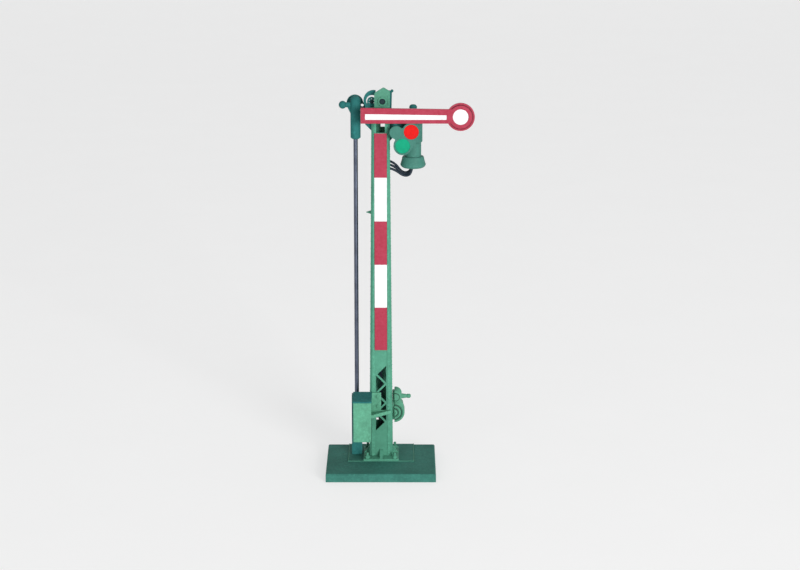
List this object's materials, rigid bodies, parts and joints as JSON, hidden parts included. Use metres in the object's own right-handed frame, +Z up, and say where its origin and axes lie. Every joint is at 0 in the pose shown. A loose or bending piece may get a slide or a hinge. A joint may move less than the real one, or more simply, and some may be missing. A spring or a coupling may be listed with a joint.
{
  "type": "model signal mast",
  "caption": "Tapered lattice mast on a flat base with a pivoting signal arm, a coloured spectacle before a lamp, a pull rod with crank, a drive box and a winch.",
  "frame": {"origin": "on the mast's axis at the underside of the base plate", "axes": "+X along the signal arm towards its disc, +Y away from the front, +Z up the mast"},
  "size_m": [0.0339, 0.0216, 0.0897],
  "materials": {
    "base_green": "satin",
    "mast_green": "satin",
    "lamp_green": "satin",
    "cap_green": "satin",
    "box_green": "satin",
    "dark_green": "satin",
    "red_enamel": "satin",
    "white_enamel": "satin",
    "dark_steel": "satin",
    "rod_steel": "polished",
    "brass_bush": "satin",
    "clear_glass": "polished",
    "bulb_glass": "polished",
    "red_glass": "polished",
    "green_glass": "polished",
    "lead_black": "satin"
  },
  "bodies": {
    "mast": {"base_plate": "base_green", "base_insert": "base_green", "mast_foot": "mast_green", "foot_bolts": "mast_green", "mast_column": "mast_green", "mast_board": "white_enamel", "board_red_bands": "red_enamel", "mast_peg": "mast_green", "cap_front_plate": "cap_green", "cap_rear_plate": "dark_green", "cap_sheave": "dark_green", "cap_axle": "dark_steel", "shaft_bushes": "brass_bush", "pulley_bracket": "dark_green", "hoist_pulley": "dark_green", "pulley_pin": "dark_steel", "drive_box": "box_green", "drive_box_lid": "dark_green", "drive_bracket": "box_green", "box_screws": "box_green", "rod_guide": "dark_green", "guide_strap": "dark_green", "winch_bracket": "box_green", "winch_coil": "box_green", "winch_drum": "box_green", "winch_handle": "box_green", "lamp_body": "lamp_green", "lamp_chimney": "dark_green", "lamp_base": "lamp_green", "bulb_holder": "brass_bush", "lamp_bulb": "bulb_glass", "lamp_lens": "clear_glass", "lamp_arm": "dark_green", "spectacle_stud": "dark_steel", "lamp_leads": "lead_black"},
    "arm": {"arm_shaft": "dark_steel", "arm_hub": "dark_green", "arm_blade": "red_enamel", "arm_stripe": "white_enamel", "arm_white_disc": "white_enamel", "crank_lever": "dark_green", "link_pin": "dark_steel"},
    "rod": {"pull_rod": "rod_steel", "rod_head": "dark_green", "head_knob": "dark_green", "head_pin": "dark_steel"},
    "spectacle": {"spectacle_plate": "lamp_green", "red_glass": "red_glass", "green_glass": "green_glass", "spectacle_pin": "dark_steel"},
    "link": {"spectacle_link": "dark_green"}
  },
  "joints": [
    {"name": "arm_pivot", "type": "hinge", "parent": "mast", "child": "arm", "pos_m": [0, 0, 0.0836], "axis": [0, -1, 0], "range_deg": [0, 45.01]},
    {"name": "rod_slide", "type": "slide", "parent": "mast", "child": "rod", "axis": [0, 0, -1], "range_m": [0, 0.00479]},
    {"name": "spectacle_pivot", "type": "hinge", "parent": "mast", "child": "spectacle", "pos_m": [0.00354, -0.0035, 0.0797], "axis": [0, -1, 0], "range_deg": [0, 66.41]},
    {"name": "link_pivot", "type": "hinge", "parent": "arm", "child": "link", "pos_m": [0.00251, -0.003, 0.08256], "axis": [0, -1, 0], "range_deg": [-45.01, 0]}
  ],
  "couplings": [
    {"joint": "arm_pivot", "follows": "rod_slide", "rad_per_m": 163.83},
    {"joint": "spectacle_pivot", "follows": "rod_slide", "rad_per_m": 241.74},
    {"joint": "link_pivot", "follows": "rod_slide", "rad_per_m": -163.83}
  ]
}
